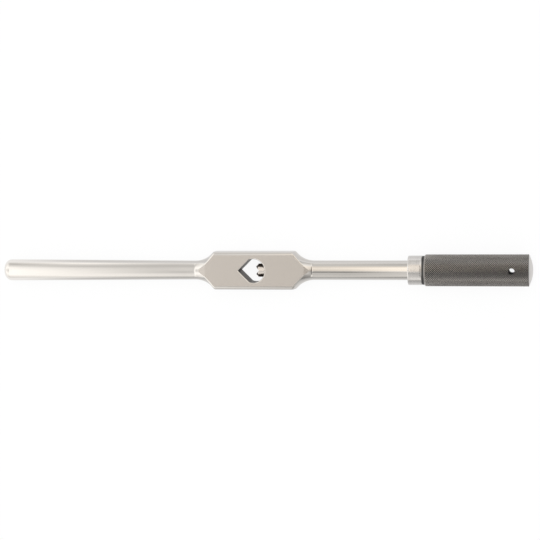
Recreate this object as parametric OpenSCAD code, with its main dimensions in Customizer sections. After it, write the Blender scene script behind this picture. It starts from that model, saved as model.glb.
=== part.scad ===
// Straight tap wrench with one plain handle and one knurled screw handle.
// +X runs along the tool towards the knurled handle, +Z out of one ground flat.
// The origin is the centre of the block, where the window's round part is centred.
// Turning the knurled handle screws it along the arm and carries the jaw rod with it.

/* [Plain handle] */
// Distance from the block's centre to the free end
handle_reach = 185.3; // [150:0.1:220]
// Diameter at the free end
handle_d = 15.4; // [14.2:0.1:18]
// Length before the taper starts, end rounding included
handle_straight = 8; // [6:0.5:80]
// Diameter where the handle meets the flare
handle_neck_d = 13.5; // [12:0.1:14]
// Radius of the soft corner at the free end
handle_corner_r = 4.6; // [2:0.1:6]
// Height of the shallow dome inside that corner
handle_dome_h = 0.25; // [0.1:0.05:0.6]

/* [Block] */
// Width across the long sides
block_w = 26.8; // [24:0.1:30]
// Thickness between the two ground flats
block_t = 15; // [14.2:0.1:16]
// Half of the length between the corners
block_half_l = 29.35; // [26:0.05:36]
// Rounding along the four long edges
block_edge_r = 2.4; // [1:0.1:3]
// Radius of the hollow flares between the block and the round parts
flare_r = 16.8; // [10:0.1:18]
// Distance from the centre to the sloping facet at the plain handle's end of each flat
left_facet_x = 34.8; // [33:0.1:38]
// Slope of that facet, in degrees
left_facet_slope = 5; // [3:0.5:6]
// Distance from the centre to the sloping facet at the arm's end of each flat
right_facet_x = 36.3; // [34:0.1:38]
// Slope of that facet, in degrees
right_facet_slope = 6; // [3:0.5:6]

/* [Window] */
// Radius of the round part
window_r = 8.3; // [7.8:0.1:9]
// Distance from the centre to the point of the fixed V
fixed_v_x = 10.65; // [9:0.05:11.4]
// Bevel round the mouths of the round part
window_bevel = 0.4; // [0.2:0.1:0.4]
// Wider bevel along the sides of the V, where the tap is guided in
v_bevel = 0.6; // [0.6:0.1:0.9]

/* [Arm] */
// Diameter of the polished arm
arm_d = 13.7; // [13.3:0.1:13.8]
// Distance from the centre to the end of the arm
arm_end_x = 141.5; // [136:0.5:141.5]
// Diameter of the threaded length at the end of the arm
arm_thread_d = 13.2; // [12.4:0.1:13.2]
// Length of that thread
arm_thread_l = 29.5; // [24:0.5:29.5]
// Bore that guides the jaw rod
rod_bore_d = 9.6; // [9.56:0.01:9.68]

/* [Jaw rod] */
// Diameter of the rod
rod_d = 9.5; // [9.4:0.01:9.54]
// Distance from the block's centre to the tips of its V
rod_tip_x = 1.05; // [-7:0.05:2.5]
// Depth of the V notch, with 90 degrees between its faces
rod_v_depth = 2.95; // [2:0.05:3.2]
// Bevel round the V end
rod_bevel = 1.9; // [1:0.1:2.2]
// Diameter of the journal that turns in the swivel plate
journal_d = 6; // [5:0.1:7]
// Diameter of the threaded tail
tail_d = 5.5; // [4:0.1:5.5]

/* [Ferrule] */
// Distance from the block's centre to the front of the ferrule
ferrule_x = 108.9; // [106:0.1:111]
// Length that shows
ferrule_l = 10; // [9:0.1:11]
// Outer diameter
ferrule_d = 20.5; // [19:0.1:21]
// Rounding of its two outer edges
ferrule_edge_r = 0.6; // [0.2:0.1:1]
// Diameter of the spigot pressed into the sleeve
spigot_d = 17.2; // [16:0.1:18]
// Length of that spigot
spigot_l = 5; // [3:0.5:5]

/* [Knurled sleeve] */
// Diameter over the crests of the knurl
sleeve_d = 22.1; // [21.2:0.1:24]
// Length from the ferrule to the cap
sleeve_l = 72.9; // [70:0.1:80]
// Diameter of the plain nose
nose_d = 20.1; // [19:0.1:21]
// Length of the plain nose
nose_l = 1.2; // [0.6:0.1:2]
// Length of the inner thread that runs on the arm
sleeve_thread_l = 16; // [12:0.5:16]
// Diameter of the cross hole for a tommy bar
tommy_d = 4.4; // [3:0.1:6]
// Distance from the cap's end of the sleeve to the cross hole
tommy_from_end = 11.7; // [10:0.1:14]

/* [Cap] */
// Diameter of the dome at its foot
cap_d = 21.4; // [19:0.1:21.4]
// Height of the dome
cap_dome_h = 2.8; // [2:0.1:4]
// Length of the plug pressed into the sleeve
cap_plug_l = 5.8; // [4:0.1:6]

/* [Hidden] */
$fn = 96;
past = 1; // how far a cutter runs past the face it cuts
facet_end_x = 41; // where the facets have run out into the flares
corner_slope = 45; // from the block's corners down to the hollow arcs of the flares
flare_turn = 47; // how far a hollow arc turns: a little more, so that it crosses that slope

sleeve_x = ferrule_x + ferrule_l;
sleeve_end_x = sleeve_x + sleeve_l;
tommy_x = sleeve_end_x - tommy_from_end;

fit = 0.05;        // radial clearance of every running fit
end_play = 0.1;    // along X, on each side of the swivel plate

// Swivel at the rod's tail, from the shoulder outwards
shoulder_x = 151;
washer_t = 0.9;
washer_d = 14;
plate_x = shoulder_x + washer_t + end_play;
plate_t = 6;
nut_x = plate_x + plate_t + end_play;
nut_l = 5;
nut_across_flats = 10;
tail_end_x = nut_x + nut_l + 1.4;
nut_pin_d = 1.6;

// Rod guide: a pin in the arm, in a keyway along the rod
guide_x = 114;
guide_d = 2.5;
guide_tip_z = 3.2;
keyway_w = 2.7;
keyway_floor_z = 3;
keyway_x0 = guide_x - 3.5;
keyway_x1 = guide_x + 10.5;

// Bores of the sleeve
sleeve_bore_d = 17;
relief_d = 16;
relief_x = sleeve_x + spigot_l + sleeve_thread_l;

// A profile drawn as [radius, distance along X] and turned about the X axis
module turned() rotate([0, 90, 0]) rotate_extrude() children();

// A cylinder along X between two places
module rod_x(x0, x1, d) translate([x0, 0, 0]) rotate([0, 90, 0]) cylinder(h = x1 - x0, d = d);

// A turned ring with a bore
module ring_x(x0, x1, d, bore_d) difference() {
    rod_x(x0, x1, d);
    rod_x(x0 - past, x1 + past, bore_d);
}

// ---- Forged body ----

// Radius at which the hollow arc crosses the corners' slope, and its place along X
function flare_top_r(neck_d) = neck_d / 2 + flare_r * (1 - cos(flare_turn));
function flare_top_x(neck_d) = block_half_l + block_w / 2 - flare_top_r(neck_d);
function flare_foot_x(neck_d) = flare_top_x(neck_d) + flare_r * sin(flare_turn);

// One half of the turned outline: out along the block, down at 45 degrees, then a hollow arc
module flare_outline(neck_d) {
    core_r = block_w / 2 + block_t / 4;
    inside = flare_r * sin(flare_turn - corner_slope) * cos(corner_slope);
    difference() {
        polygon([[0, 0], [core_r, 0], [core_r, block_half_l + block_w / 2 - core_r],
                 [flare_top_r(neck_d) - inside, flare_top_x(neck_d) + inside],
                 [neck_d / 2, flare_foot_x(neck_d)], [0, flare_foot_x(neck_d)]]);
        translate([neck_d / 2 + flare_r, flare_foot_x(neck_d)]) circle(flare_r);
    }
}

// Cross-section of the block, Z across and Y up
module block_section() {
    a = block_t / 2 - block_edge_r;
    b = block_w / 2 - block_edge_r;
    square([2 * a, block_w], center = true);
    square([block_t, 2 * b], center = true);
    for (z = [-a, a], y = [-b, b]) translate([z, y]) circle(block_edge_r);
}

// Both flares, cut off by the flats and the long sides
module whole_block() intersection() {
    length = 2 * flare_foot_x(arm_d) + 2 * past;
    rotate([0, 90, 0]) linear_extrude(height = length, center = true) block_section();
    turned() {
        flare_outline(arm_d);
        mirror([0, 1]) flare_outline(handle_neck_d);
    }
}

// Space above a shallow facet that slopes off a flat towards +X
module facet_cutter(start_x, slope) rotate([90, 0, 0])
    linear_extrude(height = block_w, center = true)
        polygon([[start_x, block_t / 2], [facet_end_x, block_t / 2 - (facet_end_x - start_x) * tan(slope)],
                 [facet_end_x, block_t], [start_x, block_t]]);

// The block with a facet at both ends of each flat
module block() difference() {
    whole_block();
    for (face = [0, 1]) mirror([0, 0, face]) {
        facet_cutter(right_facet_x, right_facet_slope);
        mirror([1, 0, 0]) facet_cutter(left_facet_x, left_facet_slope);
    }
}

// Outline of the plain handle, from its soft end to the foot of the flare
module handle_outline() {
    r = handle_d / 2;
    flat_r = r - handle_corner_r;
    dome_r = (flat_r * flat_r + handle_dome_h * handle_dome_h) / (2 * handle_dome_h);
    corner_x = handle_dome_h + handle_corner_r - handle_reach;
    translate([0, corner_x]) intersection() {
        translate([flat_r, 0]) circle(handle_corner_r);
        translate([0, -handle_corner_r]) square([r, handle_corner_r + past]);
    }
    intersection() {
        translate([0, dome_r - handle_reach]) circle(dome_r);
        translate([0, -handle_reach]) square([flat_r, handle_corner_r]);
    }
    polygon([[0, corner_x], [r, corner_x], [r, handle_straight - handle_reach],
             [handle_neck_d / 2, -flare_foot_x(handle_neck_d)], [0, -flare_foot_x(handle_neck_d)]]);
    translate([0, -handle_reach + handle_corner_r]) square([flat_r, handle_corner_r]);
}

// Half of a through cut, from a place inside it to its wall, with both mouths opened at 45 degrees
module mouth_outline(inside, wall, bevel) {
    mouth_z = block_t / 2 - bevel;
    top_z = block_t / 2 + past;
    open = wall + top_z - mouth_z;
    polygon([[inside, -top_z], [open, -top_z], [wall, -mouth_z],
             [wall, mouth_z], [open, top_z], [inside, top_z]]);
}

// Everything inside one side of the V, which is at 45 degrees to the tool
module v_side(side) mirror([0, side, 0]) rotate([0, 0, 45]) rotate([90, 0, 90])
    linear_extrude(height = 2 * block_w, center = true)
        mouth_outline(-block_w, fixed_v_x * sin(45), v_bevel);

// The window: a 90 degree V whose straight sides run into a round hole
module window() {
    tip_w = window_r;
    intersection() {
        v_side(0);
        v_side(1);
        union() {
            rotate_extrude() mouth_outline(0, window_r, window_bevel);
            translate([-fixed_v_x - 2 * past, -tip_w / 2, -block_t])
                cube([2 * past + fixed_v_x / 2, tip_w, 2 * block_t]);
        }
    }
}

module body() color([0.80, 0.77, 0.73]) difference() {
    union() {
        block();
        turned() handle_outline();
        rod_x(flare_foot_x(arm_d), arm_end_x - arm_thread_l, arm_d);
        rod_x(arm_end_x - arm_thread_l, arm_end_x, arm_thread_d);
    }
    window();
    rod_x(window_r / 2, arm_end_x + past, rod_bore_d);
    translate([guide_x, 0, -arm_d]) cylinder(h = arm_d, d = guide_d);
}

module guide_pin() color([0.55, 0.55, 0.56])
    translate([guide_x, 0, -arm_thread_d / 2 + 0.05])
        cylinder(h = arm_thread_d / 2 - 0.05 - guide_tip_z, d = guide_d);

// ---- Jaw rod and what is fastened to it ----

module jaw_rod() color([0.72, 0.70, 0.67]) difference() {
    union() {
        translate([rod_tip_x, 0, 0]) rotate([0, 90, 0])
            cylinder(h = rod_bevel, d1 = rod_d - 2 * rod_bevel, d2 = rod_d);
        rod_x(rod_tip_x + rod_bevel, shoulder_x, rod_d);
        rod_x(shoulder_x, nut_x, journal_d);
        rod_x(nut_x, tail_end_x, tail_d);
    }
    translate([rod_tip_x + rod_v_depth, 0, 0]) rotate([0, 0, 135])
        translate([0, 0, -rod_d]) cube([rod_d, rod_d, 2 * rod_d]);
    keyway();
    nut_pin_hole();
}

// Milled slot with round ends on the underside of the rod
module keyway() {
    depth = rod_d;
    translate([keyway_x0, -keyway_w / 2, -keyway_floor_z - depth])
        cube([keyway_x1 - keyway_x0, keyway_w, depth]);
    for (x = [keyway_x0, keyway_x1])
        translate([x, 0, -keyway_floor_z - depth]) cylinder(h = depth, d = keyway_w);
}

module nut_pin_hole() translate([nut_x + nut_l / 2, 0, 0]) rotate([90, 0, 0])
    cylinder(h = 2 * nut_across_flats, d = nut_pin_d, center = true);

module thrust_washer() color([0.75, 0.62, 0.38])
    ring_x(shoulder_x, shoulder_x + washer_t, washer_d, journal_d + 2 * fit);

module tail_nut() color([0.60, 0.60, 0.62]) difference() {
    translate([nut_x, 0, 0]) rotate([0, 90, 0])
        cylinder(h = nut_l, d = nut_across_flats / cos(30), $fn = 6);
    rod_x(nut_x - past, nut_x + nut_l + past, tail_d);
    nut_pin_hole();
}

module nut_pin() color([0.50, 0.50, 0.52]) translate([nut_x + nut_l / 2, 0, 0])
    rotate([90, 0, 0]) cylinder(h = nut_across_flats - 0.4, d = nut_pin_d, center = true);

// ---- Knurled handle and what is fixed in it ----

module handle_sleeve() color([0.36, 0.35, 0.34]) difference() {
    union() {
        rod_x(sleeve_x, sleeve_x + nose_l, nose_d);
        translate([sleeve_x + nose_l, 0, 0]) rotate([0, 90, 0])
            cylinder(h = (sleeve_d - nose_d) / 2, d1 = nose_d, d2 = sleeve_d);
        rod_x(sleeve_x + nose_l + (sleeve_d - nose_d) / 2, sleeve_end_x, sleeve_d);
    }
    rod_x(sleeve_x - past, sleeve_x + spigot_l, spigot_d);
    rod_x(sleeve_x, relief_x + past, arm_thread_d + 2 * fit);
    rod_x(relief_x, plate_x, relief_d);
    rod_x(plate_x, sleeve_end_x + past, sleeve_bore_d);
    translate([tommy_x, 0, 0]) cylinder(h = 2 * sleeve_d, d = tommy_d, center = true);
}

// Outline of the ferrule: an outer sleeve with round edges and a thinner spigot
module ferrule_outline() {
    r = ferrule_d / 2;
    e = ferrule_edge_r;
    translate([0, ferrule_x]) {
        square([r - e, ferrule_l]);
        translate([0, e]) square([r, ferrule_l - 2 * e]);
        for (x = [e, ferrule_l - e]) translate([r - e, x]) circle(e);
        square([spigot_d / 2, ferrule_l + spigot_l]);
    }
}

module ferrule() color([0.78, 0.75, 0.71]) difference() {
    turned() ferrule_outline();
    rod_x(ferrule_x - past, sleeve_x + spigot_l + past, arm_d + 2 * fit);
}

module swivel_plate() color([0.58, 0.58, 0.60])
    ring_x(plate_x, plate_x + plate_t, sleeve_bore_d, journal_d + 2 * fit);

// Outline of the cap: a plug in the sleeve and a shallow dome over its end
module cap_outline() {
    r = cap_d / 2;
    dome_r = (r * r + cap_dome_h * cap_dome_h) / (2 * cap_dome_h);
    translate([0, sleeve_end_x - cap_plug_l]) square([sleeve_bore_d / 2, cap_plug_l + cap_dome_h / 4]);
    intersection() {
        translate([0, sleeve_end_x + cap_dome_h - dome_r]) circle(dome_r, $fn = 360);
        translate([0, sleeve_end_x]) square([r, cap_dome_h]);
    }
}

module end_cap() color([0.84, 0.82, 0.79]) turned() cap_outline();

body();
guide_pin();
jaw_rod();
thrust_washer();
tail_nut();
nut_pin();
handle_sleeve();
ferrule();
swivel_plate();
end_cap();
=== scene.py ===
"""Straight tap wrench, dressed around its packed parts.

+X runs along the tool towards the knurled handle, +Z out of one ground flat.
The origin is the centre of the block. Sizes in the code are in millimetres, turned
into metres where a mesh is made.
"""

import math

import bmesh
import bpy
from bpy.props import FloatProperty, FloatVectorProperty, IntProperty, PointerProperty
from mathutils import Matrix, Vector


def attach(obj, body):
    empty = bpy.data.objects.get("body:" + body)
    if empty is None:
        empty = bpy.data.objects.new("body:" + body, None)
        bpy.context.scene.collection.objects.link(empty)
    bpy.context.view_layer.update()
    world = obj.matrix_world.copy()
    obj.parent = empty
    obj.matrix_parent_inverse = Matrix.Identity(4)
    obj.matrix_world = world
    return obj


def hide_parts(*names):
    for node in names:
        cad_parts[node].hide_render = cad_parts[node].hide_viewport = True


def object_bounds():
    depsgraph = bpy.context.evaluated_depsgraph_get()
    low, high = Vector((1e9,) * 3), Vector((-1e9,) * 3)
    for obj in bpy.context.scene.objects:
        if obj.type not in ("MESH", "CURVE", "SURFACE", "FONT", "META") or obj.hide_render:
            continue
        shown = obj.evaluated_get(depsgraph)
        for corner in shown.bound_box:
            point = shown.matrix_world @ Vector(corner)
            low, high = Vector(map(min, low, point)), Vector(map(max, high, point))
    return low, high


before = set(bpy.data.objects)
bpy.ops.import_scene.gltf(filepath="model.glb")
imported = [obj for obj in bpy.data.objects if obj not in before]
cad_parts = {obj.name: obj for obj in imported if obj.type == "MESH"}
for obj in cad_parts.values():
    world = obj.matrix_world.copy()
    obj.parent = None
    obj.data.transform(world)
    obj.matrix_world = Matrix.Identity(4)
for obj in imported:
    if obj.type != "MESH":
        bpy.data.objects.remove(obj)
CAD_BOX = [list(corner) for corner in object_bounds()]

bl_info = {
    "name": "Tap wrench",
    "version": (1, 0, 0),
    "blender": (4, 5, 0),
    "location": "3D View > Sidebar > Tap wrench",
    "description": "Makes the forged body, jaw rod, knurled handle and stage of a tap wrench",
    "category": "Object",
}

MM = 0.001
TAU = 2 * math.pi
WHITE, BLACK = (1.0, 1.0, 1.0, 1.0), (0.0, 0.0, 0.0, 1.0)
SUPPORT = 0.12  # width of the narrow faces that keep flats flat beside a rounding, in millimetres
HOLLOW_TURN = math.radians(45)  # how far a flare's hollow arc turns before it runs on straight


# ---- Sizes and colours that a user would change ----


def length(name, description, mm):
    """A length property, given in millimetres and kept in metres."""
    return FloatProperty(name=name, description=description, default=mm * MM, precision=5,
                         unit="LENGTH", subtype="DISTANCE")


def angle(name, description, degrees):
    """An angle property, given in degrees and kept in radians."""
    return FloatProperty(name=name, description=description, default=math.radians(degrees),
                         subtype="ANGLE")


def colour(name, description, rgb):
    return FloatVectorProperty(name=name, description=description, default=rgb, size=3,
                               min=0.0, max=1.0, subtype="COLOR")


class ForgedBodySizes(bpy.types.PropertyGroup):
    """Plain handle, block, flares and arm, all one forging"""

    handle_reach: length("Handle reach", "From the block's centre to the free end", 185.3)
    handle_d: length("Handle diameter", "Diameter at the free end", 15.4)
    handle_straight: length("Straight part", "Length before the taper starts", 8.0)
    neck_d: length("Neck diameter", "Diameter where the handle meets the flare", 13.5)
    end_corner_r: length("End corner", "Radius of the soft corner at the free end", 4.6)
    end_dome_h: length("End dome", "Height of the shallow dome inside that corner", 0.25)
    block_w: length("Block width", "Width across the long sides", 26.8)
    block_t: length("Block thickness", "Thickness between the ground flats", 15.0)
    block_half_l: length("Block half length", "From the centre to the block's corners", 29.35)
    edge_r: length("Long edge radius", "Rounding along the four long edges", 2.4)
    corner_r: length("Corner radius", "Rounding of the block's corners in plan", 2.2)
    flat_edge_r: length("Flat's edge", "Rounding where a flat runs into a flare", 2.4)
    flare_r: length("Flare radius", "Radius of the hollow flares", 16.8)
    left_facet_x: length("Left facet", "From the centre to the facet at the handle's end", 34.8)
    left_facet_slope: angle("Left facet's slope", "How far that facet slopes off the flat", 5.0)
    right_facet_x: length("Right facet", "From the centre to the facet at the arm's end", 36.3)
    right_facet_slope: angle("Right facet's slope", "How far that facet slopes off the flat", 6.0)
    arm_d: length("Arm diameter", "Diameter of the polished arm", 13.7)
    thread_d: length("Thread diameter", "Diameter over the arm's thread", 13.2)
    thread_l: length("Thread length", "Length of that thread", 29.5)
    arm_end: length("Arm end", "From the block's centre to the arm's end", 141.5)
    bore_d: length("Rod bore", "Bore that guides the jaw rod", 9.6)
    window_r: length("Window radius", "Radius of the window's round part", 8.3)
    window_v: length("Fixed V", "From the centre to the point of the fixed V", 10.65)
    window_edge: length("Window edge", "Rounding of the window's rims", 0.7)
    guide_x: length("Guide pin", "From the block's centre to the guide pin", 114.0)
    guide_d: length("Guide pin diameter", "Diameter of the guide pin's hole", 2.5)


class JawRodSizes(bpy.types.PropertyGroup):
    """Sliding rod with its V end"""

    rod_d: length("Rod diameter", "Diameter of the sliding rod", 9.5)
    tip: length("Tip", "From the block's centre to the tips of the V", 1.05)
    v_depth: length("V depth", "Depth of the 90 degree notch", 2.95)
    bevel: length("Bevel", "Bevel round the V end", 1.9)
    shoulder: length("Shoulder", "Where the rod steps down to its journal", 151.0)
    journal_d: length("Journal", "Diameter that turns in the swivel plate", 6.0)
    tail_d: length("Tail", "Diameter of the threaded tail", 5.5)
    tail_step: length("Tail step", "Where the tail starts", 158.1)
    tail_end: length("Tail end", "Far end of the tail", 164.5)
    keyway_w: length("Keyway width", "Width of the slot that the guide pin runs in", 2.7)
    keyway_floor: length("Keyway floor", "From the axis to the slot's floor", 3.0)
    keyway_start: length("Keyway start", "Centre of the slot's near round end", 110.5)
    keyway_end: length("Keyway end", "Centre of the slot's far round end", 124.5)
    nut_pin_x: length("Nut pin", "From the block's centre to the nut's cross pin", 160.6)
    nut_pin_d: length("Nut pin diameter", "Diameter of the cross pin's hole", 1.6)


class KnurledSleeveSizes(bpy.types.PropertyGroup):
    """Knurled screw handle"""

    start: length("Start", "Face of the plain nose", 118.9)
    end: length("End", "Face that the cap sits on", 191.8)
    crest_d: length("Crest diameter", "Diameter over the crests of the knurl", 22.1)
    depth: length("Knurl depth", "Depth of the diamonds", 0.42)
    round_count: IntProperty(name="Diamonds round", description="Diamonds round the grip",
                             default=48, min=12)
    along_count: IntProperty(name="Diamonds along", description="Diamonds along the grip",
                             default=50, min=8)
    crest_flat: FloatProperty(name="Crest flat", description="Share of a full point that is left",
                              default=0.5, min=0.1, max=1.0, subtype="FACTOR")
    nose_d: length("Nose diameter", "Diameter of the plain nose", 20.1)
    nose_l: length("Nose length", "Length of the plain nose", 1.2)
    hole_d: length("Cross hole", "Diameter of the hole for a tommy bar", 4.4)
    hole_x: length("Hole position", "From the block's centre to the cross hole", 180.1)
    hole_rim: length("Hole rim", "Width of the broken edge round the cross hole", 0.1)
    spigot_bore_d: length("Spigot bore", "Bore that takes the ferrule's spigot", 17.2)
    spigot_bore_end: length("Spigot bore's end", "Where that bore meets the thread", 123.9)
    thread_bore_d: length("Thread bore", "Diameter over the inner thread", 13.3)
    thread_end: length("Thread's end", "Far end of the inner thread", 139.9)
    relief_d: length("Relief", "Bore behind the thread", 16.0)
    plate_seat: length("Plate seat", "Face that the swivel plate sits against", 152.0)
    bore_d: length("Bore", "Bore that takes the swivel plate and the cap", 17.0)


class FerruleCapSizes(bpy.types.PropertyGroup):
    """Plain ferrule and domed cap"""

    ferrule_x: length("Ferrule front", "From the block's centre to the front face", 108.9)
    ferrule_l: length("Ferrule length", "Length that shows", 10.0)
    ferrule_d: length("Ferrule diameter", "Outer diameter", 20.5)
    ferrule_edge: length("Ferrule edge", "Rounding of its outer edges", 0.6)
    spigot_d: length("Spigot diameter", "Part pressed into the sleeve", 17.2)
    spigot_l: length("Spigot length", "Length of that part", 5.0)
    ferrule_bore_d: length("Ferrule bore", "Bore that slides on the arm", 13.8)
    cap_d: length("Cap diameter", "Diameter of the dome at its foot", 21.4)
    cap_dome_h: length("Cap dome", "Height of the dome", 2.8)
    plug_d: length("Plug diameter", "Part pressed into the sleeve", 17.0)
    plug_l: length("Plug length", "Length of that part", 5.8)


class FinishColours(bpy.types.PropertyGroup):
    """Colours of the metals"""

    nickel: colour("Polished nickel", "Round parts of the forging", (0.83, 0.80, 0.765))
    flat: colour("Ground flat", "Fine ground flats under the plate", (0.69, 0.645, 0.60))
    # Near-black here is painted shade inside the window's recess, on walls that are only unpolished.
    window: colour("Window wall", "Unpolished walls of the tap window", (0.066, 0.056, 0.050))
    satin: colour("Satin nickel", "Turned ferrule and cap", (0.87, 0.845, 0.82))
    jaw: colour("Ground steel", "Jaw rod", (0.92, 0.86, 0.80))
    oxide: colour("Black oxide", "Knurled sleeve in its grooves", (0.10, 0.10, 0.098))
    crest: colour("Worn crest", "Knurled sleeve where hands have worn it", (0.68, 0.65, 0.62))
    steel: colour("Machined steel", "Pins, nut and swivel plate", (0.50, 0.50, 0.51))
    bronze: colour("Bronze", "Thrust washer", (0.68, 0.50, 0.27))


class StageSettings(bpy.types.PropertyGroup):
    """Floor, light and camera"""

    floor_half: FloatProperty(name="Floor half size", description="Half of the floor's side",
                              default=30.0, unit="LENGTH", subtype="DISTANCE")
    floor_white: FloatProperty(name="Floor whiteness", subtype="FACTOR", default=0.9,
                               description="Share of plain white that the floor shows", min=0, max=1)
    lamp_power: FloatProperty(name="Lamp power", description="Overhead soft lamp", default=6.0)
    lamp_size: FloatProperty(name="Lamp size", description="Diameter of the soft lamp", default=1.4,
                             unit="LENGTH", subtype="DISTANCE")
    lamp_place: FloatVectorProperty(name="Lamp place", description="Middle of the soft lamp",
                                    default=(0.1, 0.25, 1.5), subtype="TRANSLATION")
    camera_aim: FloatVectorProperty(name="Aim", description="Point that the camera looks at",
                                    default=(0.01089, 0.00007, 0.0), subtype="TRANSLATION")
    camera_distance: FloatProperty(name="Camera distance", default=1.1314, unit="LENGTH",
                                   subtype="DISTANCE", description="From the tool to the camera")
    camera_lens: FloatProperty(name="Lens", description="Focal length in millimetres", default=106.67)
    lean_x: FloatProperty(name="Lean along", description="Camera's lean towards the knurled handle",
                          default=math.radians(10.8), subtype="ANGLE")
    lean_y: FloatProperty(name="Lean across", description="Camera's lean towards +Y",
                          default=math.radians(4.54), subtype="ANGLE")
    roll: FloatProperty(name="Roll", description="Camera's turn about its own line of sight",
                        default=math.radians(0.07), subtype="ANGLE")


class TapWrenchSettings(bpy.types.PropertyGroup):
    """All the groups above"""

    body: PointerProperty(type=ForgedBodySizes, name="Forged body", description="Forged body")
    jaw: PointerProperty(type=JawRodSizes, name="Jaw rod", description="Jaw rod")
    sleeve: PointerProperty(type=KnurledSleeveSizes, name="Sleeve", description="Knurled sleeve")
    trim: PointerProperty(type=FerruleCapSizes, name="Ferrule and cap", description="Ferrule and cap")
    colours: PointerProperty(type=FinishColours, name="Finishes", description="Finish colours")
    stage: PointerProperty(type=StageSettings, name="Stage", description="Floor, light and camera")


class InMillimetres:
    """Reads a property group's lengths back in millimetres, and other values as they are."""

    def __init__(self, group):
        self.group = group

    def __getattr__(self, name):
        value = getattr(self.group, name)
        return value / MM if self.group.bl_rna.properties[name].unit == "LENGTH" else value


# ---- Meshes ----


def new_object(name, mesh):
    obj = bpy.data.objects.new(name, mesh)
    bpy.context.scene.collection.objects.link(obj)
    return obj


def skin(name, rings, loop=False, capped=False):
    """Joins rings of points, given in millimetres, into one closed skin with outward normals.
    A ring of one point makes a pole. With loop, the last ring joins the first. With capped, a
    flat face closes each end."""
    bm = bmesh.new()
    rows = [[bm.verts.new(Vector(p) * MM) for p in ring] for ring in rings]
    pairs = list(zip(rows, rows[1:])) + ([(rows[-1], rows[0])] if loop else [])
    for a, b in pairs:
        count = max(len(a), len(b))
        for i in range(count):
            j = (i + 1) % count
            corners = [a[i % len(a)], a[j % len(a)], b[j % len(b)], b[i % len(b)]]
            bm.faces.new(list(dict.fromkeys(corners)))
    if capped:
        bm.faces.new(rows[0])
        bm.faces.new(rows[-1])
    bmesh.ops.recalc_face_normals(bm, faces=bm.faces)
    mesh = bpy.data.meshes.new(name)
    bm.to_mesh(mesh)
    bm.free()
    return mesh


def circle(x, r, steps):
    """A ring round the X axis, or its middle point where the radius is nothing."""
    if r <= 0:
        return [(x, 0, 0)]
    return [(x, r * math.sin(TAU * i / steps), r * math.cos(TAU * i / steps)) for i in range(steps)]


def lathe(name, profile, steps=128, loop=False):
    """Turns a profile of (distance along X, radius) pairs about the X axis."""
    return skin(name, [circle(x, r, steps) for x, r in profile], loop)


def arc(cx, cr, radius, start, end, steps):
    """Points of an arc in a turned profile. Angles are in degrees from +X towards outward."""
    angles = [math.radians(start + (end - start) * i / steps) for i in range(steps + 1)]
    return [(cx + radius * math.cos(a), cr + radius * math.sin(a)) for a in angles]


def spread(a, b, steps):
    """Places from a to b, both ends left out."""
    return [a + (b - a) * i / steps for i in range(1, steps)]


def baked(obj):
    """The object's evaluated mesh as a plain mesh, with its modifiers removed."""
    depsgraph = bpy.context.evaluated_depsgraph_get()
    mesh = bpy.data.meshes.new_from_object(obj.evaluated_get(depsgraph), depsgraph=depsgraph)
    obj.modifiers.clear()
    old, obj.data = obj.data, mesh
    name = old.name
    bpy.data.meshes.remove(old)
    mesh.name = name


def cut(obj, *cutters):
    """Takes the cutter meshes away from the object."""
    for mesh in cutters:
        cutter = new_object("cutter", mesh)
        modifier = obj.modifiers.new("cut", "BOOLEAN")
        modifier.operation, modifier.solver, modifier.object = "DIFFERENCE", "EXACT", cutter
        baked(obj)
        bpy.data.objects.remove(cutter)
        bpy.data.meshes.remove(mesh)
    if not obj.data.polygons:
        raise RuntimeError(f"nothing is left of {obj.name} after its cuts")


def smooth_between_creases(mesh, crease_deg=30.0, plane_of=None):
    """Shades smooth, with creases at sharp bends and between different planes. A plane runs
    smoothly into a rounding that starts nearly level with it. plane_of numbers a face's plane,
    from 1, and gives 0 for a rounded face."""
    bm = bmesh.new()
    bm.from_mesh(mesh)
    sharp_bend, level = math.radians(crease_deg), math.radians(12)
    for face in bm.faces:
        face.smooth = True
    for edge in bm.edges:
        if len(edge.link_faces) == 2:
            limit = sharp_bend
            if plane_of:
                a, b = (plane_of(face) for face in edge.link_faces)
                limit = sharp_bend if a == b else level if 0 in (a, b) else 0.0
            edge.smooth = edge.calc_face_angle(0.0) <= limit
    bm.to_mesh(mesh)
    bm.free()


# ---- Forged body ----


def section_directions(body):
    """Angles round the block from +Z towards +Y: dense on the corners, even on flats and sides."""
    half_w, half_t, e = body.block_w / 2, body.block_t / 2, body.edge_r
    flat_end = math.atan2(half_w - e, half_t)
    side_start = math.atan2(half_w, half_t - e)
    quarter = [flat_end * i / 24 for i in range(24)] + [math.atan2(half_w - e - SUPPORT, half_t)]
    for i in range(10):
        turn = math.radians(90 * i / 10)
        quarter.append(math.atan2(half_w - e + e * math.sin(turn), half_t - e + e * math.cos(turn)))
    quarter += [side_start, math.atan2(half_w, half_t - e - SUPPORT)]
    quarter += [side_start + (TAU / 4 - side_start) * i / 8 for i in range(1, 8)]
    half = quarter + [TAU / 4] + [TAU / 2 - a for a in reversed(quarter[1:])]
    return half + [a + TAU / 2 for a in half]


def section_radius(body, angle):
    """Distance from the axis to the block's rounded section in one direction."""
    s, c = abs(math.sin(angle)), abs(math.cos(angle))
    half_w, half_t, e = body.block_w / 2, body.block_t / 2, body.edge_r
    if half_t * s <= (half_w - e) * c:
        return half_t / c
    if half_w * c <= (half_t - e) * s:
        return half_w / s
    a, b = half_w - e, half_t - e
    reach = s * a + c * b
    return reach + math.sqrt(reach * reach - (a * a + b * b - e * e))


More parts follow.
